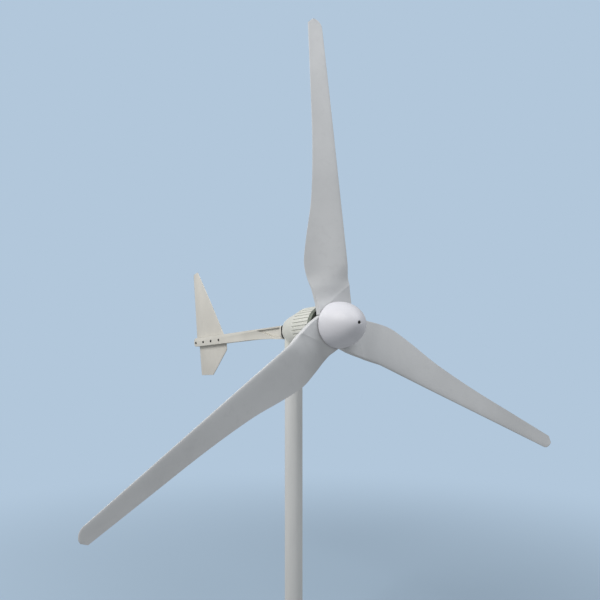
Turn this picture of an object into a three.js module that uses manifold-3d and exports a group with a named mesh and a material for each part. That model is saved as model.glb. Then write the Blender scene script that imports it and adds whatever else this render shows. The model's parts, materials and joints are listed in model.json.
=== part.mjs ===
// Small three-blade wind turbine on the top section of its mast.
// Millimetres, +Z up. The origin is the centre of the mast flange's underside, on the yaw axis.
// The nose points towards -Y and the tail towards +Y.
import * as THREE from 'three';
import { mergeVertices } from 'three/addons/utils/BufferGeometryUtils.js';
import Module from 'manifold-3d';

const wasm = await Module();
wasm.setup();

// ---- Driving dimensions ----------------------------------------------------------------------
const GAP = 0.3; // between pieces that touch
const HUB_HEIGHT = 1100; // where the rotor axis crosses the yaw axis
const TILT = THREE.MathUtils.degToRad(5); // nose-up tilt of rotor axis and tail

// Mast, DN 50 pipe on a bolted flange. Heights marked "below" are below the axis crossing.
const PIPE_RADIUS = 30.15;
const PIPE_WALL = 3.6;
const PIPE_TOP_BELOW = 135;
const FLANGE_RADIUS = 100;
const FLANGE_THICKNESS = 12;
const FLANGE_HOLE_RADIUS = 7;
const FLANGE_HOLE_CIRCLE = 80;

// Yaw spindle and its bearings, 25 x 47 x 12
const SPINDLE_SHOULDER_TOP = -127;
const SPINDLE_PLUG_BOTTOM = -225;
const SPINDLE_TOP = -21.9;
const SPINDLE_BORE = 7;
const YAW_BEARING_INNER = 12.5;
const YAW_BEARING_OUTER = 23.5;
const YAW_BEARING_WIDTH = 12;
const YAW_LOWER_BEARING = -118;
const YAW_UPPER_BEARING = -40.3;
const NECK_RADIUS = 31;
const NECK_BOTTOM = -120;
const CHAMBER_RADIUS = 22;
const CHAMBER_TOP = 38;

// Generator housing, along the rotor axis. Stations are distances behind the yaw axis.
const BODY_RADIUS = 70;
const BODY_FRONT = -208.7;
const BODY_REAR = 44;
const FIN_END = -105; // the cooling fins stop here, and the casting starts to taper
const FIN_COUNT = 36;
const GROOVE_WIDTH = 4.6;
const GROOVE_DEPTH = 2.6;
const CAVITY_RADIUS = 56;
const CAVITY_REAR = -80;
const SHIELD_FRONT = -225;
const SHIELD_BOSS_FRONT = -231;
const SHIELD_SCREW_CIRCLE = 61;

// Generator and shaft
const SHAFT_RADIUS = 12.2;
const FRONT_BEARING_OUTER = 26;
const REAR_BEARING_OUTER = 23.5;
const STATOR_BORE = 40;
const STATOR_FRONT = -188;
const STATOR_REAR = -112;
const MAGNET_OUTER = 38.8;
const DRUM_RADIUS = 35;
const POLE_COUNT = 12;

// Hub and blades
const ROTOR_PLANE = -268; // middle of the flat blade roots
const ROOT_THICKNESS = 22;
const ROOT_HALF_WIDTH = 61;
const BLADE_BOLT_RADIUS = 4;
const BLADE_BOLT_AT = { radius: 46, side: 22 };
const BLADE_1_AZIMUTH = THREE.MathUtils.degToRad(-3.1);
const TIP_RADIUS = 968;
const TIP_TE_CORNER = 955;
const TIP_ROUNDING = 30;

// Nose cone
const NOSE_BASE = -281;
const NOSE_LENGTH = 118;
const NOSE_RADIUS = 73;
const NOSE_WALL = 3;
const NOSE_FULLNESS = 1.84; // 2 would make its profile an ellipse, 1 a cone
const NOSE_HOLE_RADIUS = 5.4;
const NOSE_HOLE_DEPTH = 6;
const NOSE_BOSS_RADIUS = 9;
const NOSE_BOSS_LENGTH = 16;

// Tail
const ARM_HALF_WIDTH = 15;
const ARM_TOP = 22.5;
const ARM_END = 872;
const ARM_FLANGE_THICKNESS = 9.7;
const ARM_FLANGE_HALF_WIDTH = 24;
const GASKET_THICKNESS = 2.7;
const FIN_PLATE = 3;
const FIN_SLOT_START = 545;
const FIN_BOLT_FIRST = 603;
const FIN_BOLT_PITCH = 82;
const FIN_BOLT_HEIGHT = 2;

// ---- Materials -------------------------------------------------------------------------------
const finish = {
  bladeWhite: { color: 0xb9babb, roughness: 0.42, metalness: 0 },
  noseWhite: { color: 0xd8d9df, roughness: 0.35, metalness: 0 },
  housingWhite: { color: 0xd9dad6, roughness: 0.5, metalness: 0.05 },
  tailWhite: { color: 0xcfccc6, roughness: 0.5, metalness: 0.05 },
  finWhite: { color: 0xc9c6c1, roughness: 0.55, metalness: 0 },
  mastGrey: { color: 0xcdcecd, roughness: 0.5, metalness: 0.3 },
  steel: { color: 0x9a9c9f, roughness: 0.35, metalness: 0.9 },
  darkSteel: { color: 0x2f3134, roughness: 0.5, metalness: 0.6 },
  castAluminium: { color: 0x8f938f, roughness: 0.55, metalness: 0.6 },
  rubber: { color: 0x1c1d1f, roughness: 0.85, metalness: 0 },
  copper: { color: 0xb36b3c, roughness: 0.4, metalness: 0.9 },
  plastic: { color: 0x26282b, roughness: 0.6, metalness: 0 },
  magnet: { color: 0x6c7076, roughness: 0.4, metalness: 0.8 },
};

// ---- Geometry helpers ------------------------------------------------------------------------

// A closed, indexed, outward-facing copy of a geometry, with zero-area triangles dropped.
function weld(source) {
  const bare = source.clone();
  for (const name of Object.keys(bare.attributes)) {
    if (name !== 'position') {
      bare.deleteAttribute(name);
    }
  }
  const merged = mergeVertices(bare, 1e-4);
  const index = merged.index.array;
  const corner = [new THREE.Vector3(), new THREE.Vector3(), new THREE.Vector3()];
  const kept = [];
  let sixVolumes = 0;
  for (let i = 0; i < index.length; i += 3) {
    const [a, b, c] = [index[i], index[i + 1], index[i + 2]];
    if (a === b || b === c || c === a) {
      continue;
    }
    [a, b, c].forEach((v, k) => corner[k].fromBufferAttribute(merged.attributes.position, v));
    sixVolumes += corner[0].dot(corner[1].clone().cross(corner[2]));
    kept.push([a, b, c]);
  }
  const facing = sixVolumes < 0 ? kept.map(([a, b, c]) => [a, c, b]) : kept;
  merged.setIndex(facing.flat());
  return merged;
}

function toSolid(geometry) {
  const closed = weld(geometry);
  return new wasm.Manifold(new wasm.Mesh({
    numProp: 3,
    vertProperties: new Float32Array(closed.attributes.position.array),
    triVerts: new Uint32Array(closed.index.array),
  }));
}

function fromSolid(solid) {
  const mesh = solid.getMesh();
  const geometry = new THREE.BufferGeometry();
  geometry.setAttribute('position', new THREE.BufferAttribute(mesh.vertProperties, 3));
  geometry.setIndex(new THREE.BufferAttribute(mesh.triVerts, 1));
  return geometry;
}

function join(...geometries) {
  return fromSolid(geometries.map(toSolid).reduce((sum, next) => sum.add(next)));
}

function cut(base, ...tools) {
  return fromSolid(tools.map(toSolid).reduce((rest, tool) => rest.subtract(tool), toSolid(base)));
}

// A solid of revolution about the Y axis, from [radius, y] points.
function turned(points, segments = 16) {
  const outline = points.map(([r, y]) => new THREE.Vector2(r, y));
  if (points[0][0] > 0) {
    outline.push(outline[0].clone());
  }
  return weld(new THREE.LatheGeometry(outline, segments));
}

function ring(outer, inner, from, to, segments) {
  return turned([[inner, from], [outer, from], [outer, to], [inner, to]], segments);
}

function rod(radius, from, to, segments = 16) {
  return turned([[0, from], [radius, from], [radius, to], [0, to]], segments);
}

// A cutting tool for a clearance hole: its flats clear a shank of the given radius by GAP.
function hole(shankRadius, from, to, segments = 8) {
  return rod((shankRadius + GAP) / Math.cos(Math.PI / segments), from, to, segments);
}

// Such tools at several [x, z] places.
function holesAt(places, shankRadius, from, to) {
  return places.map(([x, z]) => hole(shankRadius, from, to).translate(x, 0, z));
}

// Turns a geometry made along Y so that it stands along Z, or lies along X.
const upright = (geometry) => geometry.rotateX(Math.PI / 2);
const crosswise = (geometry) => geometry.rotateZ(-Math.PI / 2);

function shapeFrom(points) {
  return new THREE.Shape(points.map(([x, y]) => new THREE.Vector2(x, y)));
}

// A shape drawn in side view (y, z), given a thickness from x = from to x = to.
function sidePlate(shape, from, to, curveSegments = 5) {
  const plate = new THREE.ExtrudeGeometry(shape, { depth: to - from, bevelEnabled: false, curveSegments });
  const turn = new THREE.Matrix4().set(0, 0, 1, from, 1, 0, 0, 0, 0, 1, 0, 0, 0, 0, 0, 1);
  return plate.applyMatrix4(turn);
}

// A shape drawn in end view (x, z), given a thickness from y = from to y = to.
function endPlate(shape, from, to, curveSegments = 5) {
  const plate = new THREE.ExtrudeGeometry(shape, { depth: to - from, bevelEnabled: false, curveSegments });
  return plate.rotateX(Math.PI / 2).translate(0, to, 0);
}

// Skins a closed body over rings of points, each ring listed in the same sense.
function loft(rings) {
  const count = rings[0].length;
  const points = rings.flat();
  const faces = [];
  for (let i = 0; i + 1 < rings.length; i += 1) {
    for (let k = 0; k < count; k += 1) {
      const a = i * count + k;
      const b = i * count + ((k + 1) % count);
      faces.push(a, b, b + count, a, b + count, a + count);
    }
  }
  // Each end is closed by a strip that runs across the ring.
  for (const [start, flip] of [[0, true], [(rings.length - 1) * count, false]]) {
    for (let k = 0; k < count / 2 - 1; k += 1) {
      const quad = [k, k + 1, count - 2 - k, count - 1 - k].map((v) => start + v);
      const [a, b, c, d] = flip ? [...quad].reverse() : quad;
      faces.push(a, b, c, a, c, d);
    }
  }
  const geometry = new THREE.BufferGeometry();
  geometry.setAttribute('position', new THREE.Float32BufferAttribute(points.flat(), 3));
  geometry.setIndex(faces);
  return weld(geometry);
}

// A bolt along +Y: its head ends at y = 0 and its shank runs to y = length.
function bolt(shankRadius, length, headRadius, headHeight, headSides = 6) {
  const head = rod(headRadius, -headHeight, 0, headSides);
  return join(head, rod(shankRadius, -headHeight / 2, length, 8));
}

// Smooth interpolation through [position, value] pairs, with a Catmull-Rom slope at each.
function smooth(table, at) {
  const last = table.length - 1;
  const found = table.findIndex(([x]) => x > at);
  const i = found < 0 ? last - 1 : Math.max(found - 1, 0);
  const slope = (k) => {
    const [before, after] = [table[Math.max(k - 1, 0)], table[Math.min(k + 1, last)]];
    return (after[1] - before[1]) / (after[0] - before[0]);
  };
  const [[x0, y0], [x1, y1]] = [table[i], table[i + 1]];
  const span = x1 - x0;
  const t = THREE.MathUtils.clamp((at - x0) / span, 0, 1);
  const rise = t * t * (3 - 2 * t);
  const start = t * (1 - t) * (1 - t) * span * slope(i);
  const end = t * t * (t - 1) * span * slope(i + 1);
  return y0 + (y1 - y0) * rise + start + end;
}

// ---- Scene graph -----------------------------------------------------------------------------
const turbine = new THREE.Group();
const nacelle = new THREE.Group(); // upright, at the axis crossing
const drive = new THREE.Group(); // tilted with the rotor axis; its local Y is that axis
nacelle.position.set(0, 0, HUB_HEIGHT);
drive.rotation.x = -TILT;
turbine.add(nacelle);
nacelle.add(drive);

function add(parent, name, geometry, look) {
  const mesh = new THREE.Mesh(geometry, new THREE.MeshStandardMaterial(finish[look]));
  mesh.name = name;
  parent.add(mesh);
  return mesh;
}

// ---- Mast ------------------------------------------------------------------------------------
function addMast() {
  const inner = PIPE_RADIUS - PIPE_WALL;
  const plate = upright(ring(FLANGE_RADIUS, inner, 0, FLANGE_THICKNESS, 32));
  const holes = [45, 135, 225, 315].map((degrees) => {
    const angle = THREE.MathUtils.degToRad(degrees);
    const hole = upright(rod(FLANGE_HOLE_RADIUS, -1, FLANGE_THICKNESS + 1, 12));
    return hole.translate(FLANGE_HOLE_CIRCLE * Math.cos(angle), FLANGE_HOLE_CIRCLE * Math.sin(angle), 0);
  });
  add(turbine, 'base_flange', cut(plate, ...holes), 'mastGrey');

  const pipeTop = HUB_HEIGHT - PIPE_TOP_BELOW;
  const pipe = upright(ring(PIPE_RADIUS, inner, FLANGE_THICKNESS + GAP, pipeTop, 24));
  const boltHoles = spindleBolts().map(({ height, turn }) => boltHole(height + HUB_HEIGHT, turn));
  add(turbine, 'mast_pipe', cut(pipe, ...boltHoles), 'mastGrey');
}

// The two cross bolts that hold the spindle's plug in the pipe, at right angles to each other.
function spindleBolts() {
  return [{ height: -160, turn: 0 }, { height: -185, turn: Math.PI / 2 }];
}

function boltHole(height, turn) {
  return crosswise(hole(4, -40, 40)).rotateZ(turn).translate(0, 0, height);
}

// ---- Yaw spindle, bearings and slip rings ----------------------------------------------------
function addYawPieces() {
  const journal = YAW_BEARING_INNER - GAP;
  const plugRadius = PIPE_RADIUS - PIPE_WALL - GAP;
  const shoulderBottom = GAP - PIPE_TOP_BELOW;
  const spindle = upright(turned([
    [SPINDLE_BORE, SPINDLE_PLUG_BOTTOM],
    [plugRadius, SPINDLE_PLUG_BOTTOM],
    [plugRadius, shoulderBottom],
    [PIPE_RADIUS, shoulderBottom],
    [PIPE_RADIUS, SPINDLE_SHOULDER_TOP],
    [journal, SPINDLE_SHOULDER_TOP],
    [journal, SPINDLE_TOP],
    [SPINDLE_BORE, SPINDLE_TOP],
  ], 24));
  const boltHoles = spindleBolts().map(({ height, turn }) => boltHole(height, turn));
  add(nacelle, 'yaw_spindle', cut(spindle, ...boltHoles), 'steel');

  spindleBolts().forEach(({ height, turn }, i) => {
    const mesh = add(nacelle, `spindle_bolt_${i + 1}`, bolt(4, 66, 7, 5), 'steel');
    mesh.position.set((-PIPE_RADIUS - GAP) * Math.cos(turn), (-PIPE_RADIUS - GAP) * Math.sin(turn), height);
    mesh.rotation.z = turn - Math.PI / 2;
  });

  const sealTop = NECK_BOTTOM - GAP;
  const sealFoot = SPINDLE_SHOULDER_TOP + GAP;
  const lip = [[23, sealFoot], [29.5, sealFoot], [27.5, -123.5], [29.5, sealTop], [23, sealTop]];
  const seal = turned(lip, 20);
  add(nacelle, 'yaw_seal', upright(seal), 'rubber');

  for (const [name, bottom] of [['lower', YAW_LOWER_BEARING], ['upper', YAW_UPPER_BEARING]]) {
    const top = bottom + YAW_BEARING_WIDTH;
    const bearing = upright(bearingRing(YAW_BEARING_OUTER, YAW_BEARING_INNER, bottom, top));
    add(nacelle, `yaw_bearing_${name}`, bearing, 'steel');
  }
  const spacerBottom = YAW_LOWER_BEARING + YAW_BEARING_WIDTH + GAP;
  const spacer = upright(ring(YAW_BEARING_OUTER, 19.5, spacerBottom, YAW_UPPER_BEARING - GAP, 16));
  add(nacelle, 'bearing_spacer', spacer, 'steel');

  const nutBottom = YAW_UPPER_BEARING + YAW_BEARING_WIDTH + GAP;
  const nut = cut(rod(17, nutBottom, SPINDLE_TOP - GAP, 6), hole(YAW_BEARING_INNER - GAP, -60, 0, 12));
  add(nacelle, 'yaw_lock_nut', upright(nut), 'steel');

  const drumFoot = SPINDLE_TOP + GAP;
  add(nacelle, 'slip_ring_drum', upright(ring(12, SPINDLE_BORE, drumFoot, 26, 16)), 'plastic');
  slipRingHeights().forEach((height, i) => {
    const band = ring(14.5, 12 + GAP, height - 3, height + 3, 16);
    add(nacelle, `slip_ring_band_${i + 1}`, upright(band), 'copper');
  });
  add(nacelle, 'brush_block', brushBlock(), 'plastic');
}

const slipRingHeights = () => [-9, 4, 17];

// A bearing's outline: two rings joined by a recessed shield on each side.
function bearingRing(outer, inner, from, to) {
  const third = (outer - inner) / 3;
  const dip = 0.8;
  return turned([
    [inner, from], [inner + third, from], [inner + third, from + dip], [outer - third, from + dip],
    [outer - third, from], [outer, from], [outer, to], [outer - third, to],
    [outer - third, to - dip], [inner + third, to - dip], [inner + third, to], [inner, to],
  ]);
}

// A curved block on the chamber's rear wall, with a carbon brush at the height of each band.
function brushBlock() {
  const halfAngle = THREE.MathUtils.degToRad(32);
  const outline = new THREE.Shape();
  outline.absarc(0, 0, CHAMBER_RADIUS - GAP, Math.PI / 2 - halfAngle, Math.PI / 2 + halfAngle, false);
  outline.absarc(0, 0, 16.5, Math.PI / 2 + halfAngle, Math.PI / 2 - halfAngle, true);
  const options = { depth: 40, bevelEnabled: false, curveSegments: 5 };
  const block = new THREE.ExtrudeGeometry(outline, options).translate(0, 0, -16);
  const brushes = slipRingHeights().map((height) => {
    return new THREE.BoxGeometry(6, 3.4, 4).translate(0, 16.6, height);
  });
  return join(block, ...brushes);
}

// ---- Generator housing -----------------------------------------------------------------------

// One cross-section of the casting: half an ellipse above the axis and half of another below it.
function bodySection([y, halfWidth, top, bottom], count = 36) {
  return Array.from({ length: count }, (_, k) => {
    const angle = (2 * Math.PI * (k + 0.5)) / count;
    const rise = Math.sin(angle);
    return [halfWidth * Math.cos(angle), y, rise * (rise > 0 ? top : bottom)];
  });
}

function addHousing() {
  // Station, half width, height above the axis, depth below it.
  const casting = loft([
    [BODY_FRONT, BODY_RADIUS, BODY_RADIUS, BODY_RADIUS],
    [FIN_END - 2, BODY_RADIUS, BODY_RADIUS, BODY_RADIUS],
    [FIN_END, 67.2, 67.2, 67.2],
    [-90, 65, 65.2, 65.4],
    [-72, 60.5, 62, 63],
    [-45, 52.5, 57.5, 59],
    [-20, 43.8, 53.5, 54],
    [0, 37.5, 50.5, 48],
    [20, 30.5, 46, 40],
    [34, 25.2, 41.6, 34.5],
    [39, 23.6, 40.2, 32],
    [42, 22.4, 39, 30.5],
    [BODY_REAR, 20.5, 37, 28],
  ].map((station) => bodySection(station)));

  // Cooling grooves, open at the front and, where the fins step down to the taper, at the rear.
  const grooveLength = FIN_END - BODY_FRONT + 2;
  const grooves = Array.from({ length: FIN_COUNT }, (_, k) => {
    const groove = new THREE.BoxGeometry(GROOVE_WIDTH, grooveLength, 2 * GROOVE_DEPTH);
    groove.translate(0, FIN_END + 1 - grooveLength / 2, BODY_RADIUS);
    return groove.rotateY((2 * Math.PI * (k + 0.5)) / FIN_COUNT);
  });
  const cavity = rod(CAVITY_RADIUS, BODY_FRONT - 1, CAVITY_REAR, 32);
  const bearingSeat = hole(REAR_BEARING_OUTER, CAVITY_REAR - 1, -64, 20);
  const wireWay = rod(5, CAVITY_REAR - 1, -10, 8).translate(0, 0, 32);
  const screwHoles = holesAt(shieldScrewPlaces(), 2.5, BODY_FRONT - 1, -190);
  const armBoltHoles = holesAt(armBoltPlaces(), 3, 32, BODY_REAR + 1);
  const barrel = cut(casting, ...grooves, cavity, bearingSeat, wireWay, ...screwHoles, ...armBoltHoles);

  const neck = upright(rod(NECK_RADIUS, NECK_BOTTOM, 10, 28));
  const boreTop = YAW_UPPER_BEARING + YAW_BEARING_WIDTH;
  const bearingBore = upright(hole(YAW_BEARING_OUTER, NECK_BOTTOM - 1, boreTop, 20));
  const chamber = upright(rod(CHAMBER_RADIUS, -60, CHAMBER_TOP, 20));
  const housing = cut(join(barrel.rotateX(-TILT), neck), bearingBore, chamber);
  add(nacelle, 'generator_housing', housing, 'housingWhite');
}

const shieldScrewPlaces = () => [45, 135, 225, 315].map((degrees) => {
  const angle = THREE.MathUtils.degToRad(degrees);
  return [SHIELD_SCREW_CIRCLE * Math.cos(angle), SHIELD_SCREW_CIRCLE * Math.sin(angle)];
});

const armBoltPlaces = () => [[-14, 11], [14, 11], [-13, -11.5], [13, -11.5]];

function addFrontShield() {
  const rear = BODY_FRONT - GAP;
  const bearingFront = rear - 14;
  const disc = turned([
    [18 + GAP, SHIELD_BOSS_FRONT],
    [34, SHIELD_BOSS_FRONT],
    [36, SHIELD_FRONT],
    [BODY_RADIUS - 3, SHIELD_FRONT],
    [BODY_RADIUS, SHIELD_FRONT + 3],
    [BODY_RADIUS, rear],
    [FRONT_BEARING_OUTER + GAP, rear],
    [FRONT_BEARING_OUTER + GAP, bearingFront],
    [18 + GAP, bearingFront],
  ], 32);
  const holes = holesAt(shieldScrewPlaces(), 2.5, SHIELD_FRONT - 1, rear + 1);
  add(drive, 'front_shield', cut(disc, ...holes), 'castAluminium');
  shieldScrewPlaces().forEach(([x, z], i) => {
    const screw = add(drive, `shield_screw_${i + 1}`, bolt(2.5, 30, 4.5, 4, 10), 'darkSteel');
    screw.position.set(x, SHIELD_FRONT - GAP, z);
  });
  const bearing = bearingRing(FRONT_BEARING_OUTER, SHAFT_RADIUS + GAP, bearingFront + GAP, rear);
  add(drive, 'front_bearing', bearing, 'steel');
  const seal = ring(18, SHAFT_RADIUS + GAP, SHIELD_BOSS_FRONT + 0.5, bearingFront - GAP, 16);
  add(drive, 'shaft_seal', seal, 'rubber');
}

// ---- Generator -------------------------------------------------------------------------------
function addGenerator() {
  add(drive, 'stator_core', ring(CAVITY_RADIUS - 0.5, STATOR_BORE, STATOR_FRONT, STATOR_REAR, 24), 'steel');
  // The end turns of the winding bulge on both sides of the core.
  const turns = (start, sense) => turned(
    [[42, 0], [54, 0], [54, 9], [50, 14], [45, 14], [42, 9]].map(([r, y]) => [r, start + sense * y]),
    20,
  );
  add(drive, 'stator_winding_front', turns(STATOR_FRONT - GAP, -1), 'copper');
  add(drive, 'stator_winding_rear', turns(STATOR_REAR + GAP, 1), 'copper');

  // The pole ring's outside has a flat for each magnet.
  const poles = cut(
    rod(MAGNET_OUTER, STATOR_FRONT, STATOR_REAR, POLE_COUNT * 2),
    rod(DRUM_RADIUS + GAP, STATOR_FRONT - 1, STATOR_REAR + 1, 24),
  );
  add(drive, 'magnet_ring', poles, 'magnet');
  const drum = ring(DRUM_RADIUS, SHAFT_RADIUS + GAP, STATOR_FRONT, STATOR_REAR, 24);
  add(drive, 'rotor_drum', drum, 'steel');
  const rearJournal = 10;
  const rearBearing = bearingRing(REAR_BEARING_OUTER, rearJournal + GAP, CAVITY_REAR, -66);
  add(drive, 'rear_bearing', rearBearing, 'steel');
  add(drive, 'main_shaft', turned([
    [0, -306],
    [8, -306],
    [8, -256],
    [SHAFT_RADIUS, -256],
    [SHAFT_RADIUS, CAVITY_REAR - 3],
    [rearJournal, CAVITY_REAR - 3],
    [rearJournal, -66],
    [0, -66],
  ]), 'steel');
}

// ---- Hub -------------------------------------------------------------------------------------
const rootRear = ROTOR_PLANE + ROOT_THICKNESS / 2;
const rootFront = ROTOR_PLANE - ROOT_THICKNESS / 2;

// The blade bolts' places, as azimuths and a radius, two for each blade.
function bladeBoltPlaces() {
  const { radius, side } = BLADE_BOLT_AT;
  return [0, 1, 2].flatMap((blade) => [-side, side].map((offset) => {
    const azimuth = BLADE_1_AZIMUTH + (blade * 2 * Math.PI) / 3 + Math.atan2(offset, radius);
    const reach = Math.hypot(radius, offset);
    return [reach * Math.sin(azimuth), reach * Math.cos(azimuth)];
  }));
}

function addHub() {
  const holes = (from, to) => holesAt(bladeBoltPlaces(), BLADE_BOLT_RADIUS, from, to);
  const plateRear = rootRear + GAP + 12;
  const hubPlate = turned([
    [SHAFT_RADIUS + GAP, rootRear + GAP],
    [64, rootRear + GAP],
    [64, plateRear - 2],
    [62, plateRear],
    [26, plateRear],
    [22, SHIELD_BOSS_FRONT - 2],
    [SHAFT_RADIUS + GAP, SHIELD_BOSS_FRONT - 2],
  ], 28);
  add(drive, 'hub_plate', cut(hubPlate, ...holes(rootRear - 5, -230)), 'castAluminium');

  const clampRear = rootFront - GAP;
  const clampFront = clampRear - 7;
  const clampPlate = ring(62, 8 + GAP, clampFront, clampRear, 28);
  add(drive, 'hub_clamp_plate', cut(clampPlate, ...holes(-300, -270)), 'steel');

  bladeBoltPlaces().forEach(([x, z], i) => {
    const mesh = add(drive, `blade_bolt_${i + 1}`, bolt(BLADE_BOLT_RADIUS, 40, 7, 5), 'steel');
    mesh.position.set(x, clampFront - GAP, z);
  });
  add(drive, 'shaft_washer', ring(18, 8 + GAP, clampFront - GAP - 2.5, clampFront - GAP), 'steel');
  const nutRear = clampFront - 2 * GAP - 2.5;
  const nut = cut(rod(15, nutRear - 12, nutRear, 6), hole(8, -320, -270, 12));
  add(drive, 'shaft_nut', nut, 'steel');
}

// ---- Nose cone -------------------------------------------------------------------------------
function addNose() {
  const tip = NOSE_BASE - NOSE_LENGTH;
  const steps = 10;
  const power = 2 / NOSE_FULLNESS;
  // The dome's profile, from the rim to the edge of the hole at its tip.
  const dome = (radius, length, lastRadius) => Array.from({ length: steps + 1 }, (_, i) => {
    const lastAngle = Math.acos((lastRadius / radius) ** (1 / power));
    const angle = (lastAngle * i) / steps;
    return [radius * Math.cos(angle) ** power, NOSE_BASE - length * Math.sin(angle) ** power];
  });
  const screwRadius = 3;
  const seat = tip + NOSE_HOLE_DEPTH;
  const bossRear = tip + NOSE_BOSS_LENGTH;
  const outside = dome(NOSE_RADIUS, NOSE_LENGTH, NOSE_HOLE_RADIUS);
  const inside = dome(NOSE_RADIUS - NOSE_WALL, NOSE_LENGTH - NOSE_WALL, NOSE_BOSS_RADIUS);
  const well = [
    [NOSE_HOLE_RADIUS, seat], [screwRadius, seat],
    [screwRadius, bossRear], [NOSE_BOSS_RADIUS, bossRear],
  ];
  add(drive, 'nose_cone', turned([...outside, ...well, ...inside.reverse()], 30), 'noseWhite');

  const [rear, front, thread, threadEnd] = [-306 - GAP, bossRear + GAP, 2.8, -370];
  const standoff = [[0, rear], [7, rear], [7, front], [thread, front], [thread, threadEnd], [0, threadEnd]];
  add(drive, 'nose_standoff', turned(standoff, 10), 'steel');
  const screw = add(drive, 'nose_screw', bolt(2.5, 20, 3.7, 3, 10), 'darkSteel');
  screw.position.y = seat - GAP;
}

// ---- Blades ----------------------------------------------------------------------------------
// A blade is drawn pointing up (+Z), its leading edge towards +X and its front face towards -Y.

// Distance from the blade's centre line to the trailing edge, at each radius.
const trailingEdge = [
  [75, 62], [110, 70], [150, 83], [185, 90], [215, 90], [290, 77], [400, 55], [570, 39], [765, 31],
  [960, 24],
];
const twistDegrees = [
  [110, 15], [215, 14], [290, 12.5], [400, 10.4], [570, 9.3], [765, 8.6], [960, 7.5],
];
const sectionThickness = [[150, 22], [215, 19], [400, 13], [570, 10], [765, 8], [960, 5.5]];

function leadingOffset(r) {
  const straight = r < 150 ? ROOT_HALF_WIDTH - (r - 75) * 0.107 : 53 - (r - 150) * 0.0375;
  const past = Math.max(r - (TIP_RADIUS - TIP_ROUNDING), 0);
  return straight - (TIP_ROUNDING - Math.sqrt(TIP_ROUNDING ** 2 - past ** 2));
}

function trailingOffset(r) {
  const past = Math.max(r - TIP_TE_CORNER, 0);
  return smooth(trailingEdge, Math.max(r, 75)) - past * 1.3;
}

// Distance of the section's middle in front of the rotor plane. It starts outside the nose.
function coning(r) {
  const start = THREE.MathUtils.smoothstep(r, 76, 130);
  return start * (0.0607 * r - 0.0000158 * r * r);
}

// The root's inner end is a 120 degree point that clears the shaft.
function innerEnd(t) {
  const shaftClearance = 14;
  const arc = Math.sqrt(Math.max(shaftClearance ** 2 - t ** 2, 0));
  return Math.max(arc, Math.abs(t) / Math.sqrt(3) + 1);
}

// Stations along the blade: radius at the leading edge, radius at the trailing edge, how far the
// flat root has turned into an aerofoil, and how far it dips behind the rotor plane. The root ends
// in a slanting crease, where the surface folds back.
const crease = [125, 45];
const fullSection = [195, 165];
const turning = [0, 0.12, 0.25, 0.4, 0.6, 0.8, 1].map((t) => {
  const [leading, trailing] = crease.map((r, k) => r + (fullSection[k] - r) * t);
  return [leading, trailing, t * t * (3 - 2 * t), 22 * t * (1 - t) ** 2];
});
const outer = [
  240, 280, 330, 400, 500, 620, 760, 880, 936, 950, 955, 960, 963.5, 966, 967.5,
].map((r) => [r, r, 1, 0]);
const stations = [
  [0, 0, 0, 0], [70, 38, 0, 0], [100, 42, 0, 0], ...turning, [216, 203, 1, 0], ...outer,
];

function bladeSection([leadingRadius, trailingRadius, turnIn, dip], index) {
  const chordSteps = 9;
  const place = (u, side) => {
    const nominal = leadingRadius + (trailingRadius - leadingRadius) * u;
    const reach = Math.max(nominal, 76);
    const chord = leadingOffset(reach) + trailingOffset(reach);
    const along = leadingOffset(reach) - u * chord;
    const r = index === 0 ? innerEnd(along) : nominal;
    const thick = smooth(sectionThickness, Math.max(r, 150));
    // Four-digit aerofoil thickness and camber, with a blunt trailing edge.
    const poly = 0.2969 * Math.sqrt(u) - 0.126 * u - 0.3516 * u ** 2 + 0.2843 * u ** 3 - 0.1036 * u ** 4;
    const half = thick * 5 * poly + 0.8 * u;
    const camber = -0.035 * chord * 4 * u * (1 - u);
    const edge = 1 - 0.25 * Math.max(Math.abs(2 * u - 1) - 0.9, 0) / 0.1;
    const flat = (side * ROOT_THICKNESS * edge) / 2;
    const round = camber + side * half;
    const twist = turnIn * THREE.MathUtils.degToRad(smooth(twistDegrees, Math.max(r, 110)));
    const depth = flat + (round - flat) * turnIn;
    const forward = coning(r) - dip + depth * Math.cos(twist) + along * Math.sin(twist);
    const across = along * Math.cos(twist) - depth * Math.sin(twist);
    return [across, ROTOR_PLANE - forward, r];
  };
  // Points crowd towards the leading edge, front face first and back face in return.
  const chordwise = Array.from({ length: chordSteps }, (_, k) => {
    return 1 - Math.cos((Math.PI / 2) * (k / (chordSteps - 1)));
  });
  const front = chordwise.map((u) => place(u, 1));
  const back = chordwise.map((u) => place(u, -1)).reverse();
  front[0] = nudge(front[0], back[back.length - 1], 0.5);
  return [...front, ...back];
}

// Keeps the two leading-edge points apart, so that every section has the same number of points.
function nudge(point, other, least) {
  const apart = Math.hypot(...point.map((v, k) => v - other[k]));
  return apart < least ? [point[0], point[1] - least, point[2]] : point;
}

function addBlades() {
  const { radius, side } = BLADE_BOLT_AT;
  const holes = [-side, side].map((x) => hole(BLADE_BOLT_RADIUS, -300, -230).translate(x, 0, radius));
  for (const k of [0, 1, 2]) {
    const moulding = cut(loft(stations.map(bladeSection)), ...holes);
    const blade = add(drive, `blade_${k + 1}`, moulding, 'bladeWhite');
    blade.rotation.y = BLADE_1_AZIMUTH + (k * 2 * Math.PI) / 3;
  }
}

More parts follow.
